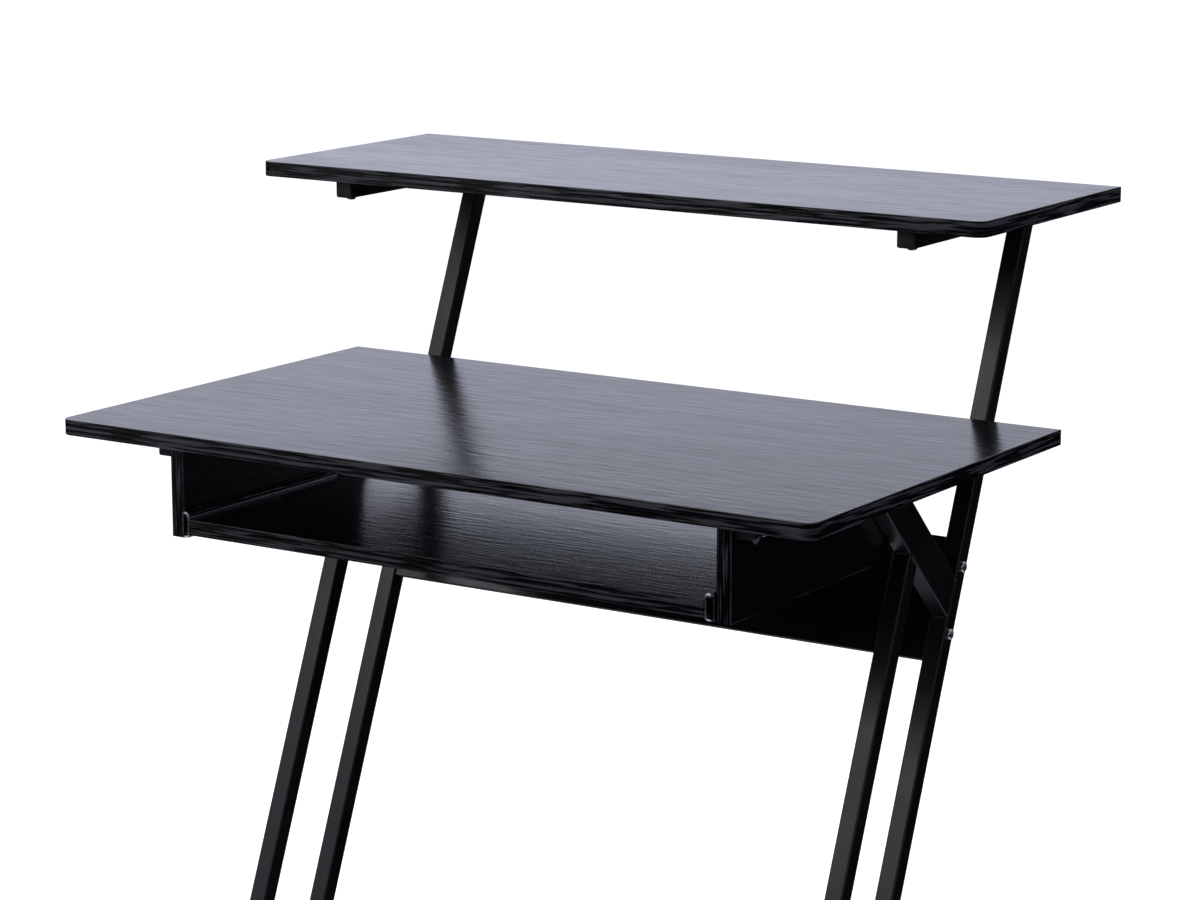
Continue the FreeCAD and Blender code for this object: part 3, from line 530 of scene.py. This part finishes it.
FRONT_RADIUS = 0.013
for node, body, radius in (("desktop", "frame", FRONT_RADIUS),
                           ("monitor_shelf", "frame", FRONT_RADIUS), ("keyboard_tray", "tray", 0.0)):
    low, high = map(np.array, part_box(node + "_edge_band"))
    band_piece(node + "_edge_band", body,
               lambda inset: plan(high[0] - inset, low[1] + inset, high[1] - inset,
                                  max(radius - inset, 0.0)),
               high[2] - low[2], lambda points: points + (0, 0, low[2]))

for node in ("right_side_panel_edge_band", "left_side_panel_edge_band"):
    low, high = map(np.array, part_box(node))
    middle = (low[2] + high[2]) / 2
    half = (high[2] - low[2]) / 2
    band_piece(node, "frame", lambda inset: plan(half - inset, low[1] + inset, high[1] - inset, 0.0),
               high[0] - low[0],
               lambda points: np.stack([low[0] + points[:, 2], points[:, 1],
                                        middle + points[:, 0]], 1))

low, high = map(np.array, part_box("modesty_panel_edge_band"))
depth, height = high[1] - low[1], high[2] - low[2]
shrink = math.cos(2 * LEAN)
panel_height = (height * math.cos(LEAN) - depth * math.sin(LEAN)) / shrink
panel_board = (depth * math.cos(LEAN) - height * math.sin(LEAN)) / shrink
panel_corner = np.array([0, low[1], low[2] + panel_board * math.sin(LEAN)])
band_piece("modesty_panel_edge_band", "frame",
           lambda inset: plan(high[0] - inset, inset, panel_height - inset, 0.0), panel_board,
           lambda points: panel_corner + points[:, :1] * X + points[:, 1:2] * LEG_UP
           + points[:, 2:] * LEG_BACK)

# --- Ball-bearing slides --------------------------------------------------------------------------
# Two rolled steel members, zinc plated, with a ball cage between them. The outer member is
# screwed to the side panel, the inner one to the edge of the tray; their ends show beside it.
SLIDE_WALL = 0.0012
SLIDE_BEND = 0.0013
OUTER_LIP = 0.0006
BEND_STEPS = 5


def zinc_steel(name, colour, roughness, along=None):
    """Zinc-plated steel: crystalline cloudiness and fine rolling lines along the strip."""
    material, shader = node_material(name, colour, roughness)
    shader.inputs["Metallic"].default_value = 1.0
    links = material.node_tree.links
    stretch = drawn_out(along, 30.0) if along else EVEN
    lines = stretched_noise(material, 30.0, stretch, 4.0)
    cloud = stretched_noise(material, 180.0, EVEN, 3.0)
    links.new(blend_colours(material, cloud.outputs["Fac"], [c * 0.82 for c in colour],
                            [min(1.0, c * 1.12) for c in colour]), shader.inputs["Base Color"])
    links.new(remap(material, lines.outputs["Fac"], roughness - 0.07, roughness + 0.1),
              shader.inputs["Roughness"])
    bump(material, shader, lines.outputs["Fac"], 0.00008, 0.25)
    return material


slide_zinc = zinc_steel("zinc_plated_slide", (0.30, 0.31, 0.33), 0.26, "y")


def rolled_strip(path, wall, x_web, toward, middle_z, y_low, y_high):
    """Strip of sheet `wall` thick, bent along a centre line of (reach, height) points, carried
    along Y. Each side of the sheet is the centre line moved half a wall along its normal."""
    path = np.array(path)
    tangent = np.gradient(path, axis=0)
    tangent /= np.linalg.norm(tangent, axis=1)[:, None]
    normal = np.stack([-tangent[:, 1], tangent[:, 0]], 1)
    outline = np.concatenate([path + normal * wall / 2, (path - normal * wall / 2)[::-1]])
    rings = [np.stack([x_web + toward * outline[:, 0], np.full(len(outline), y),
                       middle_z + outline[:, 1]], 1) for y in (y_low, y_high)]
    points, faces = loft(np.stack(rings))
    count, strip = len(outline), len(path)
    faces = faces[:-2]
    for start in (0, count):
        for k in range(strip - 1):
            faces.append([start + k, start + k + 1, start + count - 2 - k, start + count - 1 - k])
    return points, faces


def channel_path(reach, height, wall, bend, lip):
    """Centre line of a C: lip, flange, quarter-circle bend, web, bend, flange, lip."""
    half = height / 2 - wall / 2
    web = wall / 2
    turn = np.linspace(0, math.pi / 2, BEND_STEPS + 1)
    upper = [(reach - wall / 2, half - lip), (reach - wall, half), (reach / 2, half)]
    upper += [(web + bend - bend * math.sin(a), half - bend + bend * math.cos(a)) for a in turn]
    return upper + [(x, -z) for x, z in reversed(upper)]


for side, toward in (("right", -1), ("left", 1)):
    for member, body, way, lip in (("outer", "frame", toward, OUTER_LIP),
                                   ("inner", "tray", -toward, 0.0)):
        node = "%s_slide_%s_member" % (side, member)
        low, high = map(np.array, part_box(node))
        x_web = high[0] if way < 0 else low[0]
        path = channel_path(high[0] - low[0], high[2] - low[2], SLIDE_WALL, SLIDE_BEND,
                            lip)
        strip = rolled_strip(path, SLIDE_WALL, x_web, way, (low[2] + high[2]) / 2, low[1], high[1])
        rail = build(node + "_rolled", [strip], slide_zinc)
        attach(rail, body)
        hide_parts(node)

cage_steel = zinc_steel("pressed_cage_steel", (0.45, 0.45, 0.46), 0.34, "y")
ball_steel = zinc_steel("polished_ball_steel", (0.75, 0.76, 0.78), 0.12)
for side in ("right", "left"):
    refinish(side + "_slide_ball_cage", cage_steel)

# --- Slide stops ----------------------------------------------------------------------------------
# A small half-round tab stands up from the top flange of each outer member, near its front end,
# in the same steel.
TAB_RADIUS = 0.003
TAB_SETBACK = 0.020
TAB_SINK = 0.0003


def half_round_tab(centre, thickness):
    """Upright half disc facing the front: its outline is a half circle on a level foot; three
    rings soften each face's rim by a small quarter circle."""
    turn = np.linspace(0, math.pi, 17)
    soft = thickness / 4
    rings = []
    for push, shrink in ((0, soft), (soft * 0.3, soft * 0.3), (soft, 0), (thickness - soft, 0),
                         (thickness - soft * 0.3, soft * 0.3), (thickness, soft)):
        radius = TAB_RADIUS - shrink
        rings.append(np.stack([centre[0] + radius * np.cos(turn),
                               np.full(len(turn), centre[1] + push),
                               centre[2] + radius * np.sin(turn)], 1))
    return loft(np.stack(rings))


for side in ("right", "left"):
    low, high = map(np.array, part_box(side + "_slide_outer_member"))
    foot = np.array([(low[0] + high[0]) / 2, low[1] + TAB_SETBACK, high[2] - TAB_SINK])
    tab = build(side + "_slide_stop", [half_round_tab(foot, SLIDE_WALL)], slide_zinc)
    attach(tab, "frame")

# --- Slide end lips -------------------------------------------------------------------------------
# The front end of each inner member is turned out into a rounded lip, a square bracket as tall as
# the slide. Its steel is coloured far lighter than the rest of the slide, as a painted highlight.
# With the tray pushed in it stands before the outer member's open end.
LIP_RADIUS = 0.0010
LIP_BEND = 0.003
LIP_HALF_HEIGHT = 0.0122
LIP_REACH = 0.0066
LIP_GAP = 0.0001
# Same zinc-plated steel as the slide, coloured near white: a painted highlight on the lip.
lip_zinc_painted_highlight = zinc_steel("slide_lip_painted_highlight", (0.86, 0.87, 0.89), 0.3)


def bracket_wire(x_stroke, toward, y, z_middle):
    """Round wire bent to a square bracket: its middle line is an upright stroke with a quarter
    circle and a level hook at each end, and the wire closes there by the square root of the
    distance to its tip."""
    turn = np.linspace(0, math.pi / 2, 7)
    across = np.concatenate([np.linspace(LIP_REACH, LIP_BEND, 8)[:-1],
                             LIP_BEND * (1 - np.sin(turn))])
    rise = np.concatenate([np.full(7, LIP_HALF_HEIGHT),
                           LIP_HALF_HEIGHT - LIP_BEND * (1 - np.cos(turn))])
    across = np.concatenate([across, across[::-1]])
    rise = np.concatenate([rise, -rise[::-1]])
    tip_distance = np.abs(np.abs(across) - LIP_REACH)
    radius = LIP_RADIUS * np.sqrt(np.clip(tip_distance / LIP_RADIUS, 0.03, 1))
    run = np.stack([np.gradient(across), np.gradient(rise)], 1)
    run /= np.linalg.norm(run, axis=1, keepdims=True)
    around = np.linspace(0, 2 * math.pi, 12, endpoint=False)
    sideways = np.stack([-run[:, 1], run[:, 0]], 1)[:, None] * np.cos(around)[None, :, None]
    ring_x = across[:, None] + radius[:, None] * sideways[..., 0]
    ring_z = rise[:, None] + radius[:, None] * sideways[..., 1]
    ring_y = y + radius[:, None] * np.sin(around)[None]
    return loft(np.stack([x_stroke + toward * ring_x, ring_y, z_middle + ring_z], -1))


for side, toward in (("right", 1), ("left", -1)):
    low, high = map(np.array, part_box(side + "_slide_inner_member"))
    web_x = low[0] if toward > 0 else high[0]
    wire = bracket_wire(web_x + toward * (LIP_RADIUS + LIP_GAP), toward,
                        low[1] - LIP_RADIUS + LIP_GAP, (low[2] + high[2]) / 2)
    lip = build(side + "_slide_end_lip", [wire], lip_zinc_painted_highlight)
    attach(lip, "tray")

# --- Balls ----------------------------------------------------------------------------------------
# Polished steel balls run in two rows, above and below the inner member, each row held at an even
# pitch by the cage.
BALL_PITCH = 0.010


def ball(centre, radius, rings=13, around=20):
    """Sphere from pole to pole: each ring's radius is the sine of its angle from the pole."""
    polar = np.linspace(0.04, math.pi - 0.04, rings)[:, None]
    turn = np.linspace(0, 2 * math.pi, around, endpoint=False)
    return loft(centre + radius * np.stack([np.sin(polar) * np.cos(turn),
                                            np.sin(polar) * np.sin(turn),
                                            np.cos(polar) + 0 * turn], 2))


for side in ("right", "left"):
    node = side + "_slide_balls"
    low, high = map(np.array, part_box(node))
    radius = (high[0] - low[0]) / 2
    count = round((high[1] - low[1] - 2 * radius) / BALL_PITCH) + 1
    shells = [ball(np.array([low[0] + radius, y, z]), radius)
              for y in np.linspace(low[1] + radius, high[1] - radius, count)
              for z in (low[2] + radius, high[2] - radius)]
    balls = build(node + "_polished", shells, ball_steel, 60.0)
    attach(balls, side + "_cage")
    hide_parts(node)

# --- Bolts and screws -----------------------------------------------------------------------------
# Zinc-plated button heads with a hexagon socket: bolts through the rear legs and the floor runners,
# and wood screws up through the arms. Each is turned, its socket punched, and its thread rolled.
bolt_zinc = zinc_steel("zinc_plated_fastener", (0.70, 0.71, 0.74), 0.24)
KEY = 0.004
SOCKET = 0.002
SOCKET_BREAK = 0.00018
SOCKET_LAND = 1.3
HEAD_RIM = 0.0004
HEAD_CROWN = 0.62
THREAD_CUT = 0.16
TIP = 0.35
AROUND = 36


def threaded_fastener(head_point, inward, head, head_radius, shank_radius, length, pitch, bare):
    """Bolt or screw as one skin of rings down its axis, from the socket's floor to the tip. The
    socket is a hexagon, whose radius is half the key size over the cosine of the angle from the
    nearest flat; the dome is a quarter ellipse; the thread is a triangle wave of depth over pitch
    plus angle over a turn, cut into the shank past its bare length."""
    turn = np.linspace(0, 2 * math.pi, AROUND, endpoint=False)
    flat = (turn + math.pi / 6) % (math.pi / 3) - math.pi / 6
    hexagon = KEY / 2 / np.cos(flat)
    radii = [hexagon * 0.1, hexagon * 0.97, hexagon, hexagon, hexagon + SOCKET_BREAK]
    depths = [-head + SOCKET + 0.0004, -head + SOCKET, -head + SOCKET * 0.9, -head + 0.0004,
              -head + 0.0001]
    land = KEY / 2 * SOCKET_LAND
    for share in np.linspace(0.12, 1, 9):
        angle = share * math.pi / 2
        radii.append(np.full(AROUND, land + (head_radius - land) * math.sin(angle)))
        depths.append(-head + head * HEAD_CROWN * (1 - math.cos(angle)))
    radii += [np.full(AROUND, r) for r in (head_radius, head_radius * 0.985, shank_radius)]
    depths += [-HEAD_RIM, 0.0, 0.0]
    reach = np.linspace(bare, length - pitch, max(4, int((length - bare) / pitch * 4)))
    wave = np.abs(((reach[:, None] / pitch - turn / (2 * math.pi)) % 1) * 2 - 1)
    fade = np.clip((reach - bare) / pitch, 0, 1)[:, None]
    radii += list(shank_radius * (1 - THREAD_CUT * (1 - wave) * fade))
    depths += list(reach)
    radii.append(np.full(AROUND, shank_radius * TIP))
    depths.append(length)
    radii, depths = np.array(radii), np.array(depths)
    side = np.cross(inward, Y if abs(inward[1]) < 0.9 else X)
    side /= np.linalg.norm(side)
    up = np.cross(inward, side)
    return loft(head_point + depths[:, None, None] * inward
                + radii[:, :, None] * (np.cos(turn)[:, None] * side + np.sin(turn)[:, None] * up))


def fastener_piece(node, shells):
    """One piece of every bolt or screw in a node, in the node's stead."""
    piece = build(node + "_rolled", shells, bolt_zinc, 32.0)
    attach(piece, "frame")
    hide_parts(node)


BOLT_HEAD, BOLT_HEAD_RADIUS, BOLT_RADIUS, BOLT_PITCH = 0.0036, 0.0056, 0.003, 0.001
MODESTY_BITE, CROSSBAR_BITE = 0.036, 0.018
outer_x = right_high[0]
low, high = map(np.array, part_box("modesty_bolts"))
shells = []
for middle in (low + BOLT_HEAD_RADIUS, high - BOLT_HEAD_RADIUS):
    for way in (1, -1):
        shells.append(threaded_fastener(np.array([way * outer_x, middle[1], middle[2]]), -way * X,
                                        BOLT_HEAD, BOLT_HEAD_RADIUS, BOLT_RADIUS,
                                        TUBE + MODESTY_BITE, BOLT_PITCH, TUBE))
fastener_piece("modesty_bolts", shells)

low, high = map(np.array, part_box("crossbar_bolts"))
middle = (low + high) / 2
fastener_piece("crossbar_bolts", [
    threaded_fastener(np.array([way * outer_x, middle[1], middle[2]]), -way * X, BOLT_HEAD,
                      BOLT_HEAD_RADIUS, BOLT_RADIUS, TUBE + CROSSBAR_BITE, BOLT_PITCH, TUBE)
    for way in (1, -1)])

SCREW_HEAD, SCREW_HEAD_RADIUS, SCREW_RADIUS, SCREW_BITE = 0.003, 0.005, 0.00225, 0.011
SCREW_PITCH, SCREW_BARE = 0.0018, 0.8 * TUBE
DESK_SCREWS_Y = (-0.240, -0.099, 0.128)
for node, arm, middles in (("desktop_screws", "desk_arm", DESK_SCREWS_Y),
                           ("shelf_screws", "shelf_arm", None)):
    low, high = map(np.array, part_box(node))
    arm_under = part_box("right_" + arm)[0][2]
    x_middle = outer_x - TUBE / 2
    middles = middles or (low[1] + SCREW_HEAD_RADIUS, high[1] - SCREW_HEAD_RADIUS)
    fastener_piece(node, [
        threaded_fastener(np.array([way * x_middle, y, arm_under]), Z, SCREW_HEAD,
                          SCREW_HEAD_RADIUS, SCREW_RADIUS, TUBE + SCREW_BITE, SCREW_PITCH,
                          SCREW_BARE)
        for way in (1, -1) for y in middles])

# --- Smaller fixings ------------------------------------------------------------------------------
# Die-cast cams and their steel pins hang the side panels; barrel nuts sit in the modesty panel,
# threaded plugs in the crossbar, inserts in the runners, and small screws hold the slides.
cam_alloy = zinc_steel("die_cast_cam_alloy", (0.72, 0.73, 0.75), 0.4)
for node in ("modesty_barrel_nuts", "side_panel_cam_pins", "slide_panel_screws",
             "slide_tray_screws", "foot_inserts", "side_panel_cams", "crossbar_threaded_plugs"):
    refinish(node, {"side_panel_cams": cam_alloy,
                    "crossbar_threaded_plugs": plug_plastic}.get(node, bolt_zinc))

# --- Levelling feet -------------------------------------------------------------------------------
# A moulded foot with grip ribs round its skirt turns on a steel screw cut with a real thread. The
# user screws it down by hand until the desk stands firm.
foot_plastic = moulded_plastic("black_foot_plastic", (0.014, 0.014, 0.015), 0.5)
RIBS = 24
RIB_DEPTH = 0.0009
FOOT_NECK = 0.013
FOOT_SCREW_RADIUS = 0.004
SCREW_SINK = 0.0005


def turned(profile, centre, ribs=0, rib_depth=0.0, steps=96):
    """Profile of (radius, height) points spun round a vertical axis; ribs press the radius in as a
    cosine of the angle where the profile's third number asks for it."""
    turn = np.linspace(0, 2 * math.pi, steps, endpoint=False)
    rings = []
    for radius, height, ribbed in profile:
        r = radius - ribbed * rib_depth * (0.5 - 0.5 * np.cos(ribs * turn)) ** 2
        rings.append(np.stack([centre[0] + r * np.cos(turn), centre[1] + r * np.sin(turn),
                               np.full(steps, centre[2] + height)], 1))
    return loft(np.stack(rings))


def thread(radius, z_low, z_high, centre, pitch=0.00125, depth=0.0006, steps=32):
    """Screw thread: the radius is a triangle wave of height over pitch plus angle over a turn, so
    the crest climbs one pitch a turn; it fades out at both ends."""
    turn = np.linspace(0, 2 * math.pi, steps, endpoint=False)
    heights = np.linspace(z_low, z_high, int((z_high - z_low) / pitch * 8))
    wave = np.abs(((heights[:, None] / pitch - turn / (2 * math.pi)) % 1) * 2 - 1)
    fade = np.clip(np.minimum(heights - z_low, z_high - heights) / pitch, 0, 1)[:, None]
    r = radius - depth * (1 - wave * fade)
    rings = np.stack([centre[0] + r * np.cos(turn), centre[1] + r * np.sin(turn),
                      np.broadcast_to(heights[:, None], r.shape)], 2)
    return loft(rings)


for side in ("right", "left"):
    for end in ("front", "rear"):
        node = "%s_%s_foot" % (side, end)
        low, high = map(np.array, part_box(node))
        centre = np.array([*((low + high) / 2)[:2], 0.0])
        pad = (high[0] - low[0]) / 2
        skirt = [(pad * 0.6, 0.0, 0), (pad * 0.9, 0.0, 0), (pad * 0.97, 0.0004, 0),
                 (pad, 0.0014, 0), (pad, 0.0016, 0), (pad, 0.0020, 1), (pad, 0.0042, 1),
                 (pad * 0.985, 0.0048, 0.6), (pad * 0.93, 0.0054, 0), (pad * 0.8, 0.0068, 0),
                 (pad * 0.68, 0.0088, 0), (pad * 0.6, 0.0108, 0),
                 (pad * 0.57, FOOT_NECK - 0.0006, 0), (pad * 0.53, FOOT_NECK, 0),
                 (pad * 0.32, FOOT_NECK, 0)]
        foot = build(node + "_moulded", [turned(skirt, centre, RIBS, RIB_DEPTH)], foot_plastic,
                     50.0)
        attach(foot, node)
        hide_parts(node)
        stem = thread(FOOT_SCREW_RADIUS, FOOT_NECK - SCREW_SINK, high[2], centre)
        screw = build(node + "_screw", [stem], bolt_zinc, 60.0)
        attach(screw, node)

# --- Studio ---------------------------------------------------------------------------------------
# A plain pale floor, seen by the camera alone, glows more with distance and turns up into a far
# wall. The surround is pale behind, dim in front and dark at the horizon, so the black tops catch
# a soft sheen and the upright faces stay deep; a softbox and a card at the front left lift them.
FLOOR_RADIUS = 60.0
WALL_HEIGHT = 45.0
NEAR_GLOW, FAR_GLOW = 0.6, 1.0
GLOW_START, GLOW_END = 2.5, 12.0
floor_material, floor_shader = node_material("pale_floor", (0.86, 0.86, 0.86), 0.9)
floor_shader.inputs["Emission Color"].default_value = (1, 1, 1, 1)
speckle = stretched_noise(floor_material, 3.0, EVEN, 3.0)
floor_links = floor_material.node_tree.links
floor_links.new(blend_colours(floor_material, speckle.outputs["Fac"], (0.85, 0.85, 0.85),
                              (0.87, 0.87, 0.87)), floor_shader.inputs["Base Color"])
floor_place = add(floor_material, "TexCoord")
floor_reach = add(floor_material, "VectorMath", operation="LENGTH")
floor_links.new(floor_place.outputs["Object"], floor_reach.inputs[0])
floor_links.new(remap(floor_material, floor_reach.outputs["Value"], NEAR_GLOW, FAR_GLOW, GLOW_START,
                      GLOW_END), floor_shader.inputs["Emission Strength"])
floor_turn = np.linspace(0, 2 * math.pi, 96, endpoint=False)
floor_ring = FLOOR_RADIUS * np.stack([np.cos(floor_turn), np.sin(floor_turn), 0 * floor_turn], 1)
floor_rings = np.stack([floor_ring + (0, 0, WALL_HEIGHT), floor_ring])
floor_points, floor_faces = loft(floor_rings)
floor_mesh = bpy.data.meshes.new("studio_floor")
floor_mesh.from_pydata(floor_points.tolist(), [], floor_faces[:-2] + floor_faces[-1:])
floor_mesh.materials.append(floor_material)
floor = bpy.data.objects.new("studio_floor", floor_mesh)
bpy.context.scene.collection.objects.link(floor)
floor.visible_glossy = False
floor.visible_diffuse = False
floor.visible_shadow = False

world = bpy.data.worlds.new("studio_surround")
world.use_nodes = True
sky = world.node_tree
backdrop = sky.nodes["Background"]
backdrop.inputs["Color"].default_value = (0.80, 0.83, 1.0, 1)


def ramp_of(source, low, high, from_low, from_high):
    """Smooth step of a direction's part between two values."""
    node = sky.nodes.new("ShaderNodeMapRange")
    node.interpolation_type = "SMOOTHSTEP"
    for socket, value in zip(("From Min", "From Max", "To Min", "To Max"),
                             (from_low, from_high, low, high)):
        node.inputs[socket].default_value = value
    sky.links.new(source, node.inputs["Value"])
    return node.outputs["Result"]


direction = sky.nodes.new("ShaderNodeTexCoord")
parts = sky.nodes.new("ShaderNodeSeparateXYZ")
sky.links.new(direction.outputs["Generated"], parts.inputs["Vector"])


def combine(operation, first, second):
    """One sum or product of two parts of the surround's strength."""
    node = sky.nodes.new("ShaderNodeMath")
    node.operation = operation
    sky.links.new(first, node.inputs[0])
    sky.links.new(second, node.inputs[1])
    return node.outputs["Value"]


horizon = combine("MULTIPLY", ramp_of(parts.outputs["Z"], 0.02, 1.0, -0.04, 0.06),
                  ramp_of(parts.outputs["Z"], 1.0, 0.7, 0.12, 0.30))
to_sides = combine("MULTIPLY", ramp_of(parts.outputs["Y"], 0.2, 1.22, -0.35, 0.45),
                   ramp_of(parts.outputs["X"], 1.0, 0.3, -0.75, 0.4))
round_about = combine("MULTIPLY", horizon, to_sides)
from_below = ramp_of(parts.outputs["Z"], 0.5, 0.0, -0.85, -0.45)
low_band = combine("MULTIPLY", ramp_of(parts.outputs["Z"], 0.0, 0.4, 0.06, 0.14),
                   ramp_of(parts.outputs["Z"], 1.0, 0.0, 0.30, 0.60))
in_front = combine("MULTIPLY", low_band, ramp_of(parts.outputs["Y"], 1.0, 0.0, -0.4, 0.3))
elsewhere = combine("ADD", from_below, in_front)
sky.links.new(combine("ADD", round_about, elsewhere), backdrop.inputs["Strength"])
bpy.context.scene.world = world


def soft_light(name, place, aim, width, height, power):
    """Rectangular softbox at a place, turned to face a point."""
    light = bpy.data.lights.new(name, "AREA")
    light.shape = "RECTANGLE"
    light.size, light.size_y = width, height
    light.energy = power
    lamp = bpy.data.objects.new(name, light)
    bpy.context.scene.collection.objects.link(lamp)
    lamp.visible_camera = False
    lamp.location = place
    lamp.rotation_euler = Vector(np.subtract(aim, place)).to_track_quat("-Z", "Y").to_euler()


soft_light("overhead_soft", (0.0, 0.6, 4.2), (0, 0.3, 0), 5.0, 5.0, 120.0)
soft_light("front_left_soft", (-1.45, -2.35, 2.1), (0.1, 0.1, 0.8), 1.2, 1.1, 14.0)
soft_light("front_left_card", (-2.5, -2.7, 0.5), (0, 0, 0.7), 1.6, 0.8, 2.0)

AIM = np.array([0.0298, -0.0330, 0.7106])
AZIMUTH = math.radians(32.95)
ELEVATION = math.radians(11.77)
DISTANCE = 3.532
FOCAL_LENGTH = 104.26
SENSOR_WIDTH = 36.0
camera_data = bpy.data.cameras.new("camera")
camera_data.sensor_width = SENSOR_WIDTH
camera_data.lens = FOCAL_LENGTH
camera_data.clip_end = 200.0
camera = bpy.data.objects.new("camera", camera_data)
bpy.context.scene.collection.objects.link(camera)
camera.location = AIM + DISTANCE * np.array([math.sin(AZIMUTH) * math.cos(ELEVATION),
                                             -math.cos(AZIMUTH) * math.cos(ELEVATION),
                                             math.sin(ELEVATION)])
camera.rotation_euler = (math.pi / 2 - ELEVATION, 0, AZIMUTH)
bpy.context.scene.camera = camera
bpy.context.scene.view_settings.view_transform = "Standard"
